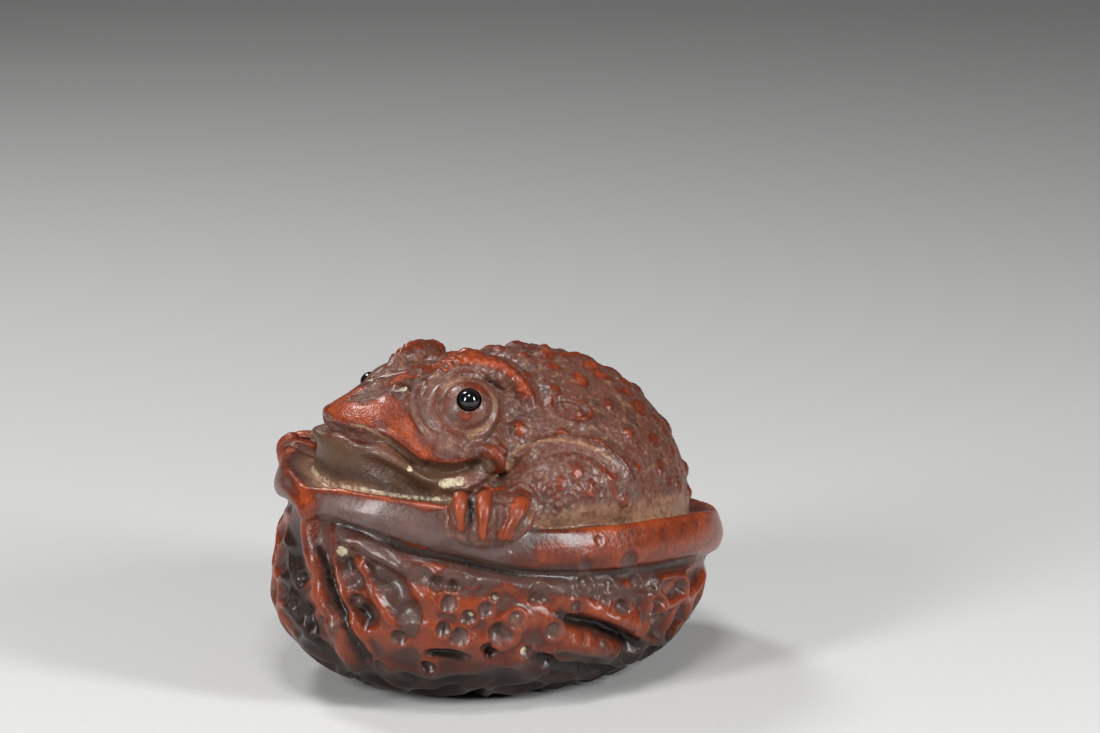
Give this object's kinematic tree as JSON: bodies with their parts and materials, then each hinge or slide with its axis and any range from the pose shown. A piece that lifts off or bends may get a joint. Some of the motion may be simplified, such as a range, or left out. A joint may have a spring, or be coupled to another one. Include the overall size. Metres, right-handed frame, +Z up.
{
  "type": "tea pet figurine",
  "caption": "Palm-sized tea pet: a toad crouched in half a walnut shell, in tea-polished clay, with black glass bead eyes and a flat foot.",
  "frame": {"origin": "middle of the flat foot, on the surface that it stands on", "axes": "+X to the toad's left, -Y towards its nose, +Z up"},
  "size_m": [0.0733, 0.0921, 0.063],
  "materials": {
    "clay": "satin",
    "bead": "gloss"
  },
  "bodies": {
    "root": {"toad_in_walnut": "clay", "eye_left": "bead", "eye_right": "bead"}
  },
  "joints": []
}
